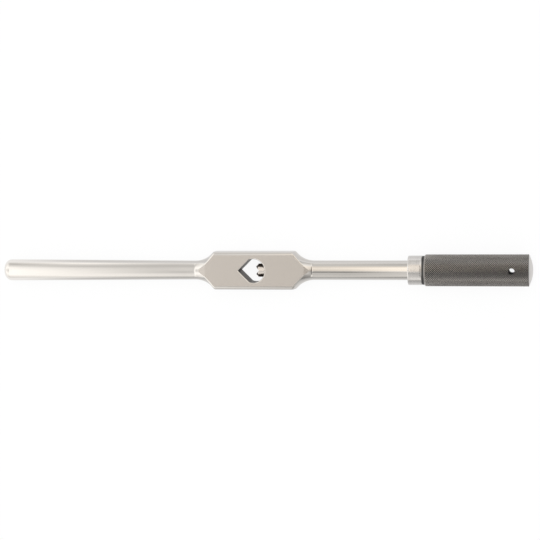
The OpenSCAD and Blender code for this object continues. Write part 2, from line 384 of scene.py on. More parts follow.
def fillet_radius(body, away, flat_end):
    """The flat's edge radius over a flat, blending into the corner's radius beyond it."""
    quickness = 2.2  # the blend ends this many times sooner than the middle of the side
    blend = min(max((away - flat_end) / (TAU / 4 - flat_end) * quickness, 0.0), 1.0)
    blend = blend * blend * (3 - 2 * blend)
    return body.flat_edge_r + (body.corner_r - body.flat_edge_r) * blend


def flare_arcs(body, angle, neck_r, facet_x, facet_slope):
    """The hollow arc of a flare and the fillet that rounds it into the block, or into the shallow
    facet that slopes off the end of a flat. The hollow turns to 45 degrees and runs on straight.
    Gives both centres, the fillet's radius, the turn, the straight run and the facet's slope."""
    flare_r, block_r = body.flare_r, section_radius(body, angle)
    top_r = neck_r + flare_r * (1 - math.cos(HOLLOW_TURN))
    top = Vector((body.block_half_l + body.block_w / 2 - top_r, top_r))
    centre = Vector((top.x + flare_r * math.sin(HOLLOW_TURN), neck_r + flare_r))
    flat_end = math.atan2(body.block_w / 2 - body.edge_r, body.block_t / 2)
    away = min(abs(math.remainder(angle, TAU / 2)), TAU / 4)
    hollow_r = centre.y - math.sqrt(flare_r ** 2 - (centre.x - facet_x) ** 2)
    slope = 0.0
    if away < flat_end and hollow_r > block_r:
        slope = math.atan(math.tan(facet_slope) / math.cos(away))
    fillet = fillet_radius(body, away, flat_end)

    along = Vector((math.cos(slope), -math.sin(slope)))
    outward = Vector((math.sin(slope), math.cos(slope)))
    base = Vector((facet_x, block_r)) - outward * fillet
    gap = base - centre
    near = gap.dot(along)
    beyond = math.sqrt(near ** 2 - gap.length_squared + (flare_r + fillet) ** 2)
    middle = base - along * (near + beyond)
    turned, straight = math.atan2(centre.x - middle.x, centre.y - middle.y), 0.0
    if turned > HOLLOW_TURN:
        facing = Vector((math.sin(HOLLOW_TURN), math.cos(HOLLOW_TURN)))
        middle = base - along * ((fillet + facing.dot(base - top)) / facing.dot(along))
        turned, straight = HOLLOW_TURN, (middle - top).dot(Vector((-facing.y, facing.x)))
    return centre, middle, fillet, turned, straight, slope


def flare_column(body, angle, neck_r, facet_x, facet_slope):
    """One column of a flare, from its foot to the block: (distance from centre, radius) pairs."""
    centre, middle, fillet, turned, straight, slope = flare_arcs(
        body, angle, neck_r, facet_x, facet_slope)
    flare_r, block_r = body.flare_r, section_radius(body, angle)
    hollow_steps, fillet_steps = 25, 8
    path = flare_r * turned + straight
    column = []
    for i in range(hollow_steps):
        s = path * i / hollow_steps
        bent = min(s / flare_r, turned)
        rest = max(s - flare_r * turned, 0.0) * math.sin(HOLLOW_TURN)
        column.append((centre.x - flare_r * math.sin(bent) - rest,
                       centre.y - flare_r * math.cos(bent) + rest))
    for i in range(fillet_steps + 1):
        bent = turned + (slope - turned) * i / fillet_steps
        column.append((middle.x + fillet * math.sin(bent),
                       min(middle.y + fillet * math.cos(bent), block_r)))
    for x in (column[-1][0] - SUPPORT, min(facet_x, column[-1][0] - 2 * SUPPORT)):
        column.append((x, min(block_r, block_r - (x - facet_x) * math.tan(slope))))
    column.append((column[-1][0] - SUPPORT, block_r))
    return column


def handle_end(body):
    """The free end: a shallow dome, then the soft corner."""
    corner, dome = body.end_corner_r, body.end_dome_h
    flat_r = body.handle_d / 2 - corner
    dome_r = (flat_r * flat_r + dome * dome) / (2 * dome)
    column = []
    for i in (1, 2, 3):
        r = flat_r * i / 4
        column.append((dome_r - body.handle_reach - math.sqrt(dome_r * dome_r - r * r), r))
    return column + arc(dome + corner - body.handle_reach, flat_r, corner, 180, 90, 12)


def handle_taper(body, start, foot):
    """The plain handle: straight at first, then tapering to the foot of its flare."""
    handle_r, neck_r = body.handle_d / 2, body.neck_d / 2
    straight_end = body.handle_straight - body.handle_reach
    column = [(x, handle_r) for x in spread(start, straight_end, 8)] + [(straight_end, handle_r)]
    for x in spread(straight_end, foot, 20):
        along = (x - straight_end) / (foot - straight_end)
        column.append((x, handle_r + (neck_r - handle_r) * along))
    return column


def threaded_arm(body, foot):
    """The arm, from the foot of its flare to its threaded end."""
    step, chamfer = 0.2, 0.5
    thread_x, arm_r, thread_r = body.arm_end - body.thread_l, body.arm_d / 2, body.thread_d / 2
    column = [(x, arm_r) for x in spread(foot, thread_x, 16)]
    column += [(thread_x, arm_r), (thread_x + step, thread_r)]
    column += [(x, thread_r) for x in spread(thread_x, body.arm_end - chamfer, 5)]
    return column + [(body.arm_end - chamfer, thread_r), (body.arm_end, thread_r - chamfer)]


def body_column(body, angle):
    """The whole outline in one direction, from the free end to the end of the arm."""
    left = flare_column(body, angle, body.neck_d / 2, body.left_facet_x, body.left_facet_slope)
    right = flare_column(body, angle, body.arm_d / 2, body.right_facet_x, body.right_facet_slope)
    block_r = section_radius(body, angle)
    column = handle_end(body)
    column += handle_taper(body, column[-1][0], -left[0][0])
    column += [(-x, r) for x, r in left]
    column += [(x, block_r) for x in spread(-left[-1][0], right[-1][0], 8)]
    column += list(reversed(right))
    return column + threaded_arm(body, right[0][0])


def window_outline(body, grow):
    """Plan of the window grown by an offset: a circle with a 90 degree V on its left."""
    r, v = body.window_r + grow, body.window_v + grow * math.sqrt(2)
    run = (v + math.sqrt(2 * r * r - v * v)) / 2
    meet = math.degrees(math.atan2(run, run - v))
    side = [run * i / 4 for i in (1, 2, 3)]
    points = [(-v, 0.0)] + [(d - v, d) for d in side]
    points += arc(0, 0, r, meet, -meet, 72)
    return points + [(d - v, -d) for d in reversed(side)]


def window_cutter(body):
    """The window as a solid, opened at both faces by a rounded rim that leaves steeply."""
    half_t, e, past, steepest = body.block_t / 2, body.window_edge, 1.0, math.radians(70)
    rim_steps = 7
    rim = []
    for i in range(rim_steps + 1):
        turn = steepest * i / rim_steps
        rim.append((e - e * math.cos(turn), half_t - e + e * math.sin(turn)))
    grow, z = rim[-1]
    rim.append((grow + (half_t + past - z) * math.tan(steepest), half_t + past))
    layers = [(g, -z) for g, z in reversed(rim)] + rim
    rings = [[(x, y, z) for x, y in window_outline(body, g)] for g, z in layers]
    return skin("window cutter", rings, capped=True)


def round_cutter(name, x0, x1, r, steps=64):
    """A plain round cutter along the X axis."""
    return lathe(name, [(x0, 0), (x0, r), (x1, r), (x1, 0)], steps)


def upright(mesh, x):
    """Turns a cutter from the X axis onto the Z axis at a place along the tool."""
    mesh.transform(Matrix.Translation((x * MM, 0, 0)) @ Matrix.Rotation(-TAU / 4, 4, "Y"))
    return mesh


def make_forged_body(body):
    """The whole forging, with each face given the number of its finish."""
    directions = section_directions(body)
    columns = [body_column(body, a) for a in directions]
    rings = [[(-body.handle_reach, 0, 0)]]
    for row in zip(*columns):
        rings.append([(x, r * math.sin(a), r * math.cos(a)) for (x, r), a in zip(row, directions)])
    rings.append([(body.arm_end, 0, 0)])
    obj = new_object("forged_body", skin("forged_body", rings))
    pin_hole = round_cutter("pin hole", -2 * body.arm_d, 0, body.guide_d / 2, 24)
    cut(obj, window_cutter(body),
        round_cutter("rod bore", body.window_r / 2, body.arm_end + 1, body.bore_d / 2),
        upright(pin_hole, body.guide_x))
    smooth_between_creases(obj.data, plane_of=lambda face: ground_plane(body, face))
    obj.data.materials.clear()
    bm = bmesh.new()
    bm.from_mesh(obj.data)
    for face in bm.faces:
        # Window walls take the near-black material, which is painted shade for the recess.
        face.material_index = 1 if in_window(body, face) else 2 if ground_plane(body, face) else 0
    bm.to_mesh(obj.data)
    bm.free()
    return obj


def ground_plane(body, face):
    """1 for a ground flat, 2 or 3 for the facet at its left or right end, 0 for anything else."""
    points = [v.co / MM for v in face.verts]
    if all(abs(abs(p.z) - body.block_t / 2) < 1e-3 for p in points):
        return 1
    for number, side, start, slope in ((2, -1, body.left_facet_x, body.left_facet_slope),
                                       (3, 1, body.right_facet_x, body.right_facet_slope)):
        sunk = [body.block_t / 2 - (p.x * side - start) * math.tan(slope) - abs(p.z) for p in points]
        if all(p.x * side > start - 1e-3 for p in points) and all(abs(d) < 1e-3 for d in sunk):
            return number
    return 0


def in_window(body, face):
    """Whether a face is a wall of the window, below most of its rounded rims."""
    rim_share, near_v, near_round = 0.75, 0.1, 0.2
    c = face.calc_center_median() / MM
    if abs(c.z) > body.block_t / 2 - body.window_edge * rim_share:
        return False
    on_v = c.x < 0 and abs(abs(c.x) + abs(c.y) - body.window_v) < near_v
    return on_v or abs(math.hypot(c.x, c.y) - body.window_r) < near_round


# ---- Shader building ----


class Nodes:
    """Adds and links nodes in one tree."""

    def __init__(self, tree):
        self.tree = tree

    def add(self, kind, inputs=None, **settings):
        node = self.tree.nodes.new(kind)
        for name, value in settings.items():
            setattr(node, name, value)
        for key, value in (inputs or {}).items():
            self.put(node.inputs[key], value)
        return node

    def put(self, socket, value):
        """Links a socket, or sets a plain value."""
        if isinstance(value, bpy.types.NodeSocket):
            self.tree.links.new(value, socket)
        else:
            socket.default_value = value

    def math(self, operation, *values, clamp=False):
        node = self.add("ShaderNodeMath", operation=operation, use_clamp=clamp)
        for socket, value in zip(node.inputs, values):
            self.put(socket, value)
        return node.outputs[0]

    def vector(self, operation, *values):
        node = self.add("ShaderNodeVectorMath", operation=operation)
        for socket, value in zip(node.inputs, values):
            self.put(socket, value)
        return node.outputs[0]

    def ramp_between(self, value, low, high, to_low=0.0, to_high=1.0):
        """Maps a value from one span onto another, smoothly and held at its ends."""
        node = self.add("ShaderNodeMapRange", interpolation_type="SMOOTHSTEP")
        for socket, given in zip(node.inputs, (value, low, high, to_low, to_high)):
            self.put(socket, given)
        return node.outputs[0]

    def mix(self, factor, a, b):
        """Mixes two colours."""
        node = self.add("ShaderNodeMix", data_type="RGBA")
        for name, value in (("Factor", factor), ("A", a), ("B", b)):
            sockets = [s for s in node.inputs if s.name == name and s.enabled]
            self.put(sockets[0], value)
        return [s for s in node.outputs if s.enabled][0]


def rgba(colour_value, strength=1.0):
    return (*(c * strength for c in colour_value), 1.0)


def new_group(name, inputs, outputs):
    """A shader node group. Inputs are (name, kind, default) and outputs are (name, kind)."""
    tree = bpy.data.node_groups.new(name, "ShaderNodeTree")
    for label, kind, default in inputs:
        socket = tree.interface.new_socket(label, in_out="INPUT", socket_type="NodeSocket" + kind)
        if default is not None:
            socket.default_value = default
    for label, kind in outputs:
        tree.interface.new_socket(label, in_out="OUTPUT", socket_type="NodeSocket" + kind)
    nodes = Nodes(tree)
    return nodes, nodes.add("NodeGroupInput").outputs, nodes.add("NodeGroupOutput").inputs


def grain_group():
    """Fine streaks of a grinding belt or a lathe tool, drawn out along chosen axes."""
    if "Metal grain" in bpy.data.node_groups:
        return bpy.data.node_groups["Metal grain"]
    nodes, given, out = new_group(
        "Metal grain",
        [("Vector", "Vector", None), ("Fineness", "Vector", (1000, 1000, 1000)),
         ("Unevenness", "Float", 0.5)],
        [("Grain", "Float"), ("Cloud", "Float")])
    fine = nodes.add("ShaderNodeTexNoise", {
        "Vector": nodes.vector("MULTIPLY", given["Vector"], given["Fineness"]),
        "Scale": 1.0, "Detail": 3.0, "Roughness": 0.55})
    cloud = nodes.add("ShaderNodeTexNoise", {
        "Vector": given["Vector"], "Scale": 55.0, "Detail": 2.0, "Roughness": 0.5})
    spread_out = nodes.math("MULTIPLY_ADD", nodes.math("SUBTRACT", cloud.outputs[0], 0.5),
                            given["Unevenness"], 0.5)
    nodes.put(out["Grain"], fine.outputs[0])
    nodes.put(out["Cloud"], spread_out)
    return nodes.tree


def handling_group():
    """Where hands and benches have touched: sparse short scuffs and soft smudges."""
    if "Handling marks" in bpy.data.node_groups:
        return bpy.data.node_groups["Handling marks"]
    nodes, given, out = new_group(
        "Handling marks",
        [("Vector", "Vector", None), ("Amount", "Float", 0.5)],
        [("Scuffs", "Float"), ("Smudges", "Float")])
    turned = nodes.add("ShaderNodeMapping", {"Vector": given["Vector"], "Rotation": (0.1, 0.3, 0.6),
                                             "Scale": (130.0, 2400.0, 2400.0)})
    marks = nodes.add("ShaderNodeTexNoise", {"Vector": turned.outputs[0], "Scale": 1.0,
                                             "Detail": 2.0, "Roughness": 0.6})
    scuffs = nodes.ramp_between(marks.outputs[0], 0.66, 0.74)
    smudge = nodes.add("ShaderNodeTexNoise", {"Vector": given["Vector"], "Scale": 28.0,
                                              "Detail": 3.0, "Roughness": 0.6})
    smudges = nodes.ramp_between(smudge.outputs[0], 0.45, 0.75)
    nodes.put(out["Scuffs"], nodes.math("MULTIPLY", scuffs, given["Amount"]))
    nodes.put(out["Smudges"], nodes.math("MULTIPLY", smudges, given["Amount"]))
    return nodes.tree


def place_group(nodes, tree, **inputs):
    node = nodes.add("ShaderNodeGroup", node_tree=tree)
    for name, value in inputs.items():
        nodes.put(node.inputs[name], value)
    return node.outputs


def new_material(name, look):
    """A material with one metal shader in it, and the given colour as its viewport colour."""
    material = bpy.data.materials.new(name)
    material.use_nodes = True
    material.diffuse_color = rgba(look)
    nodes = Nodes(material.node_tree)
    shader = material.node_tree.nodes["Principled BSDF"]
    shader.inputs["Metallic"].default_value = 1.0
    where = nodes.add("ShaderNodeTexCoord").outputs["Object"]
    return material, nodes, shader, where


def bump(nodes, height, strength, distance):
    return nodes.add("ShaderNodeBump", {"Height": height, "Strength": strength,
                                        "Distance": distance}).outputs[0]


def nickel_material(colours):
    """Polished nickel plate, with the faint streaks of the belt it was polished on."""
    material, nodes, shader, where = new_material("nickel plate", colours.nickel)
    belt = place_group(nodes, grain_group(), Vector=where, Fineness=(60, 3200, 3200))
    marks = place_group(nodes, handling_group(), Vector=where, Amount=0.5)
    low, high = rgba(colours.nickel, 0.96), rgba(colours.nickel, 1.03)
    nodes.put(shader.inputs["Base Color"], nodes.mix(belt["Grain"], low, high))
    rough = nodes.math("MULTIPLY_ADD", belt["Grain"], 0.04, 0.04)
    rough = nodes.math("MULTIPLY_ADD", marks["Smudges"], 0.05, rough)
    nodes.put(shader.inputs["Roughness"], rough)
    nodes.put(shader.inputs["Normal"], bump(nodes, belt["Grain"], 0.03, 0.00003))
    return material


def ground_material(colours):
    """Ground flats: a fine even satin, a little greyer than the polish."""
    material, nodes, shader, where = new_material("ground flat", colours.flat)
    stone = place_group(nodes, grain_group(), Vector=where, Fineness=(2600, 2600, 2600),
                        Unevenness=0.6)
    marks = place_group(nodes, handling_group(), Vector=where, Amount=0.5)
    speckled = nodes.mix(stone["Grain"], rgba(colours.flat, 0.90), rgba(colours.flat, 1.10))
    clouded = nodes.mix(stone["Cloud"], rgba(colours.flat, 0.94), rgba(colours.flat, 1.06))
    nodes.put(shader.inputs["Base Color"], nodes.mix(0.5, speckled, clouded))
    rough = nodes.math("MULTIPLY_ADD", stone["Grain"], 0.14, 0.26)
    nodes.put(shader.inputs["Roughness"], nodes.math("MULTIPLY_ADD", marks["Scuffs"], -0.08, rough))
    nodes.put(shader.inputs["Normal"], bump(nodes, stone["Grain"], 0.12, 0.00004))
    return material


def window_wall_painted_shade_material(colours):
    """Walls of the window: broached and without polish; their near-black colour is painted shade
    inside the recess.
    """
    material, nodes, shader, where = new_material("window wall", colours.window)
    cut_marks = place_group(nodes, grain_group(), Vector=where, Fineness=(2400, 2400, 200))
    tone = nodes.mix(cut_marks["Grain"], rgba(colours.window, 0.6), rgba(colours.window, 1.5))
    nodes.put(shader.inputs["Base Color"], tone)
    nodes.put(shader.inputs["Roughness"], nodes.math("MULTIPLY_ADD", cut_marks["Grain"], 0.2, 0.35))
    nodes.put(shader.inputs["Normal"], bump(nodes, cut_marks["Grain"], 0.3, 0.00005))
    return material


def turned_material(name, tone, smooth, rings_per_m, colours_apart=0.10, ring_strength=0.25):
    """Satin metal with the fine rings that a lathe leaves round the X axis."""
    material, nodes, shader, where = new_material(name, tone)
    rings = place_group(nodes, grain_group(), Vector=where, Fineness=(rings_per_m, 25, 25))
    marks = place_group(nodes, handling_group(), Vector=where, Amount=0.6)
    low, high = rgba(tone, 1 - colours_apart), rgba(tone, 1 + colours_apart / 2)
    nodes.put(shader.inputs["Base Color"], nodes.mix(rings["Grain"], low, high))
    rough = nodes.math("MULTIPLY_ADD", rings["Grain"], 0.12, smooth)
    nodes.put(shader.inputs["Roughness"], nodes.math("MULTIPLY_ADD", marks["Smudges"], 0.08, rough))
    nodes.put(shader.inputs["Normal"], bump(nodes, rings["Grain"], ring_strength, 0.00005))
    return material


def oxide_material(sleeve, colours):
    """Black oxide in the grooves, worn to grey metal on the crests of the knurl."""
    material, nodes, shader, where = new_material("black oxide", colours.oxide)
    xyz = nodes.add("ShaderNodeSeparateXYZ", {"Vector": where}).outputs
    flat = nodes.add("ShaderNodeCombineXYZ", {"Y": xyz[1], "Z": xyz[2]}).outputs[0]
    radius = nodes.add("ShaderNodeVectorMath", {0: flat}, operation="LENGTH").outputs["Value"]
    grain = place_group(nodes, grain_group(), Vector=where, Fineness=(900, 900, 900),
                        Unevenness=1.0)
    crest = sleeve.crest_d / 2 * MM
    worn_from = nodes.math("MULTIPLY_ADD", grain["Cloud"], 0.10 * MM, crest - 0.22 * MM)
    worn = nodes.ramp_between(radius, worn_from, crest - 0.02 * MM)
    lip = (sleeve.start + sleeve.nose_l) * MM
    on_lip = nodes.math("MULTIPLY", nodes.ramp_between(xyz[0], lip, lip + 0.2 * MM),
                        nodes.ramp_between(xyz[0], lip + 1.3 * MM, lip + 0.9 * MM, 0.0, 0.6))
    worn = nodes.math("MAXIMUM", worn, on_lip)
    nodes.put(shader.inputs["Base Color"], nodes.mix(worn, rgba(colours.oxide), rgba(colours.crest)))
    rough = nodes.math("MULTIPLY_ADD", worn, -0.32, 0.46)
    nodes.put(shader.inputs["Roughness"], nodes.math("MULTIPLY_ADD", grain["Grain"], 0.08, rough))
    nodes.put(shader.inputs["Normal"], bump(nodes, grain["Grain"], 0.08, 0.00004))
    return material


# ---- Rod, sleeve, ferrule and cap ----


def rod_profile(jaw):
    """The rod from its bevelled V end to its threaded tail."""
    r, journal_r, tail_r = jaw.rod_d / 2, jaw.journal_d / 2, jaw.tail_d / 2
    chamfer, tail_chamfer = 0.4, 0.6
    profile = [(jaw.tip, 0), (jaw.tip, r - jaw.bevel), (jaw.tip + jaw.bevel, r)]
    profile += [(x, r) for x in spread(jaw.tip + jaw.bevel, jaw.shoulder - chamfer, 12)]
    profile += [(jaw.shoulder - chamfer, r), (jaw.shoulder, r - chamfer)]
    profile += [(jaw.shoulder, journal_r), (jaw.tail_step, journal_r), (jaw.tail_step, tail_r)]
    return profile + [(jaw.tail_end - tail_chamfer, tail_r),
                      (jaw.tail_end, tail_r - tail_chamfer), (jaw.tail_end, 0)]


def rod_cutters(jaw):
    """The V notch, the keyway with its round ends, and the hole for the nut's cross pin."""
    wide, half_w, root = jaw.rod_d, jaw.keyway_w / 2, jaw.tip + jaw.v_depth
    notch = [[(root - wide, -wide, z), (root, 0, z), (root - wide, wide, z)]
             for z in (-wide, wide)]
    slot = (arc(jaw.keyway_start, 0, half_w, 90, 270, 12)
            + arc(jaw.keyway_end, 0, half_w, -90, 90, 12))
    keyway = [[(x, y, z) for x, y in slot] for z in (-wide, -jaw.keyway_floor)]
    pin_hole = round_cutter("nut pin hole", -wide, wide, jaw.nut_pin_d / 2, 24)
    across = Matrix.Rotation(TAU / 4, 4, "Z")
    pin_hole.transform(Matrix.Translation((jaw.nut_pin_x * MM, 0, 0)) @ across)
    return skin("notch", notch, capped=True), skin("keyway", keyway, capped=True), pin_hole


def sleeve_profile(sleeve, along):
    """The sleeve's blank: plain nose, grip with four places for each diamond, stepped bore."""
    crest_r, nose_r, nose_end = sleeve.crest_d / 2, sleeve.nose_d / 2, sleeve.start + sleeve.nose_l
    nose_edge, end_edge, end_drop = 0.15, 0.12, 0.25
    profile = [(sleeve.start, nose_r - nose_edge), (sleeve.start + nose_edge, nose_r),
               (nose_end, nose_r)]
    for i in range(1, 4 * along):
        x = nose_end + (sleeve.end - nose_end) / along * i / 4
        profile.append((x, min(crest_r, nose_r + x - nose_end)))
    profile += [(sleeve.end - end_edge, crest_r), (sleeve.end, crest_r - end_drop)]
    bores = ((sleeve.end, sleeve.plate_seat, sleeve.bore_d),
             (sleeve.plate_seat, sleeve.thread_end, sleeve.relief_d),
             (sleeve.thread_end, sleeve.spigot_bore_end, sleeve.thread_bore_d),
             (sleeve.spigot_bore_end, sleeve.start, sleeve.spigot_bore_d))
    for x0, x1, d in bores:
        profile += [(x0, d / 2), (x1, d / 2)]
    return profile


def cross_hole(sleeve):
    """Cutter for the tommy bar's hole, widened where it meets the grip."""
    r, rim, crest_r = sleeve.hole_d / 2, sleeve.hole_rim, sleeve.crest_d / 2
    past = 2.0
    profile = [(-crest_r - past, 0), (-crest_r - past, r + rim + past), (-crest_r + rim, r)]
    profile += [(-x, radius) for x, radius in reversed(profile)]
    return upright(lathe("hole", profile, 48), sleeve.hole_x)


def ferrule_profile(trim):
    """The ferrule: a plain ring with rounded edges and the spigot behind it."""
    r, e, chamfer = trim.ferrule_d / 2, trim.ferrule_edge, 0.3
    x0, x1 = trim.ferrule_x, trim.ferrule_x + trim.ferrule_l
    bore_r, spigot_r, spigot_x = trim.ferrule_bore_d / 2, trim.spigot_d / 2, x1 + trim.spigot_l
    profile = [(x0 + chamfer, bore_r), (x0, bore_r + chamfer)]
    profile += arc(x0 + e, r - e, e, 180, 90, 8)
    profile += [(x, r) for x in spread(x0 + e, x1 - e, 8)]
    profile += arc(x1 - e, r - e, e, 90, 0, 8)
    return profile + [(x1, spigot_r), (spigot_x, spigot_r), (spigot_x, bore_r)]


def cap_profile(trim, seat):
    """The cap: its plug, then the dome that stands on the sleeve's end."""
    cap_r, h, plug_r, plug_x = trim.cap_d / 2, trim.cap_dome_h, trim.plug_d / 2, seat - trim.plug_l
    chamfer, foot, foot_h, brow, rim = 0.3, 0.15, 0.08, 0.03, 0.12
    dome_r = (cap_r * cap_r + h * h) / (2 * h)
    profile = [(plug_x, 0), (plug_x, plug_r - chamfer), (plug_x + chamfer, plug_r),
               (seat, plug_r), (seat, cap_r - foot), (seat + foot_h, cap_r - brow)]
    for i in range(1, 24):
        r = (cap_r - rim) * math.cos(TAU / 4 * i / 24)
        profile.append((seat + h - dome_r + math.sqrt(dome_r * dome_r - r * r), r))
    return profile + [(seat + h, 0)]


def knurl_tree():
    """Geometry nodes that press a diamond knurl into a turned blank about the X axis."""
    tree = bpy.data.node_groups.new("Diamond knurl", "GeometryNodeTree")
    tree.interface.new_socket("Geometry", in_out="INPUT", socket_type="NodeSocketGeometry")
    for name, kind in (("Start", "Float"), ("Pitch", "Float"), ("Diamonds Round", "Float"),
                       ("Crest Radius", "Float"), ("Depth", "Float"), ("Crest Flat", "Float"),
                       ("Inner Limit", "Float"), ("Finish", "Material")):
        tree.interface.new_socket(name, in_out="INPUT", socket_type="NodeSocket" + kind)
    tree.interface.new_socket("Geometry", in_out="OUTPUT", socket_type="NodeSocketGeometry")
    nodes = Nodes(tree)
    given = nodes.add("NodeGroupInput").outputs
    place = nodes.add("GeometryNodeInputPosition").outputs[0]
    xyz = nodes.add("ShaderNodeSeparateXYZ", {"Vector": place}).outputs
    radius = nodes.math("SQRT", nodes.math("ADD", nodes.math("MULTIPLY", xyz[1], xyz[1]),
                                           nodes.math("MULTIPLY", xyz[2], xyz[2])))
    turn = nodes.math("DIVIDE", nodes.math("ARCTAN2", xyz[1], xyz[2]), TAU)
    turns = nodes.math("MULTIPLY", turn, given["Diamonds Round"])
    along = nodes.math("DIVIDE", nodes.math("SUBTRACT", xyz[0], given["Start"]), given["Pitch"])
    one_way = nodes.math("PINGPONG", nodes.math("ADD", along, turns), 0.5)
    other_way = nodes.math("PINGPONG", nodes.math("SUBTRACT", along, turns), 0.5)
    point = nodes.math("MULTIPLY_ADD", nodes.math("MAXIMUM", one_way, other_way), -2.0, 1.0)
    height = nodes.math("DIVIDE", nodes.math("MINIMUM", point, given["Crest Flat"]),
                        given["Crest Flat"])
    valley = nodes.math("SUBTRACT", given["Crest Radius"], given["Depth"])
    pressed = nodes.math("MULTIPLY_ADD", height, given["Depth"], valley)
    scale = nodes.math("DIVIDE", nodes.math("MINIMUM", radius, pressed), radius)
    moved = nodes.add("ShaderNodeCombineXYZ", {"X": xyz[0], "Y": nodes.math("MULTIPLY", xyz[1], scale),
                                               "Z": nodes.math("MULTIPLY", xyz[2], scale)})
    outside = nodes.math("GREATER_THAN", radius, given["Inner Limit"])
    pressing = nodes.add("GeometryNodeSetPosition", {
        "Geometry": given["Geometry"], "Selection": outside, "Position": moved.outputs[0]})
    faces = nodes.add("GeometryNodeTriangulate", {"Mesh": pressing.outputs[0]})
    faces.quad_method = "SHORTEST_DIAGONAL"
    real = nodes.add("GeometryNodeRealizeInstances", {"Geometry": faces.outputs[0]})
    finish = nodes.add("GeometryNodeSetMaterial", {"Geometry": real.outputs[0],
                                                   "Material": given["Finish"]})
    end = nodes.add("NodeGroupOutput")
    nodes.put(end.inputs[0], finish.outputs[0])
    return tree


def set_inputs(modifier, values):
    """Sets a geometry nodes modifier's inputs by socket identifier."""
    for item in modifier.node_group.interface.items_tree:
        if item.in_out == "INPUT" and item.name in values:
            modifier[item.identifier] = values[item.name]


# ---- Operators that make the pieces ----


class WRENCH_OT_forged_body(bpy.types.Operator):
    """Make the one-piece forging: plain handle, block with its window, and arm"""

    bl_idname = "wrench.forged_body"
    bl_label = "Forged body"

    def execute(self, context):
        settings = context.scene.tap_wrench
        body = InMillimetres(settings.body)
        obj = make_forged_body(body)
        for make in (nickel_material, window_wall_painted_shade_material, ground_material):
            obj.data.materials.append(make(settings.colours))
        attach(obj, "body")
        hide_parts("body")
        return {"FINISHED"}


class WRENCH_OT_jaw_rod(bpy.types.Operator):
    """Make the sliding jaw rod with its V end"""

    bl_idname = "wrench.jaw_rod"
    bl_label = "Jaw rod"

    def execute(self, context):
        settings = context.scene.tap_wrench
        jaw = InMillimetres(settings.jaw)
        obj = new_object("jaw_rod_visible", lathe("jaw_rod_visible", rod_profile(jaw), 96))
        cut(obj, *rod_cutters(jaw))
        smooth_between_creases(obj.data, 25.0)
        obj.data.materials.clear()
        obj.data.materials.append(
            turned_material("ground steel", settings.colours.jaw, smooth=0.16, rings_per_m=900))
        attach(obj, "jaw")
        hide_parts("jaw_rod")
        return {"FINISHED"}


class WRENCH_OT_knurled_sleeve(bpy.types.Operator):
    """Make the knurled screw handle with its cross hole"""

    bl_idname = "wrench.knurled_sleeve"
    bl_label = "Knurled sleeve"

    def execute(self, context):
        settings = context.scene.tap_wrench
        sleeve = InMillimetres(settings.sleeve)
        nose_end = sleeve.start + sleeve.nose_l
        around, along = settings.sleeve.round_count, settings.sleeve.along_count
        profile = sleeve_profile(sleeve, along)
        obj = new_object("knurled_sleeve", lathe("knurled_sleeve", profile, 4 * around, loop=True))
        finish = oxide_material(sleeve, settings.colours)
        modifier = obj.modifiers.new("knurl", "NODES")
        modifier.node_group = knurl_tree()
        set_inputs(modifier, {
            "Start": nose_end * MM, "Pitch": (sleeve.end - nose_end) / along * MM,
            "Diamonds Round": float(around), "Crest Radius": sleeve.crest_d / 2 * MM,
            "Depth": sleeve.depth * MM, "Crest Flat": settings.sleeve.crest_flat,
            "Inner Limit": (sleeve.bore_d / 2 + 1) * MM, "Finish": finish})
        baked(obj)
        cut(obj, cross_hole(sleeve))
        for face in obj.data.polygons:
            face.use_smooth = False
        obj.data.materials.clear()
        obj.data.materials.append(finish)
        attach(obj, "handle")
        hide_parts("handle_sleeve")
        return {"FINISHED"}


class WRENCH_OT_ferrule_and_cap(bpy.types.Operator):
    """Make the plain ferrule and the domed cap at the two ends of the sleeve"""

    bl_idname = "wrench.ferrule_and_cap"
    bl_label = "Ferrule and cap"

    def execute(self, context):
        settings = context.scene.tap_wrench
        trim = InMillimetres(settings.trim)
        seat = InMillimetres(settings.sleeve).end
        ferrule = new_object("turned_ferrule",
                             lathe("turned_ferrule", ferrule_profile(trim), 144, loop=True))
        cap = new_object("domed_cap", lathe("domed_cap", cap_profile(trim, seat), 144))
        tone = settings.colours.satin
        ferrule_finish = turned_material("satin nickel, turned", tone, smooth=0.08,
                                         rings_per_m=1400, colours_apart=0.16, ring_strength=0.05)
        cap_finish = turned_material("satin nickel, faced", tone, smooth=0.26, rings_per_m=3600,
                                     colours_apart=0.12)
        for obj, node, finish in ((ferrule, "ferrule", ferrule_finish), (cap, "end_cap", cap_finish)):
            smooth_between_creases(obj.data, 35.0)
            obj.data.materials.append(finish)
            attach(obj, "handle")
            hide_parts(node)
        return {"FINISHED"}


class WRENCH_OT_inner_parts(bpy.types.Operator):
    """Give the pins, nut, washer and swivel plate inside the handle their finishes"""

    bl_idname = "wrench.inner_parts"
    bl_label = "Inner parts"

    def execute(self, context):
        colours = context.scene.tap_wrench.colours
        steel = turned_material("machined steel", colours.steel, smooth=0.28, rings_per_m=1800)
        bronze = turned_material("bearing bronze", colours.bronze, smooth=0.25, rings_per_m=1800)
        for node, finish in (("guide_pin", steel), ("tail_nut", steel), ("nut_pin", steel),
                             ("swivel_plate", steel), ("thrust_washer", bronze)):
            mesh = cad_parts[node].data
            mesh.materials.clear()
            mesh.materials.append(finish)
        return {"FINISHED"}


# ---- Stage ----

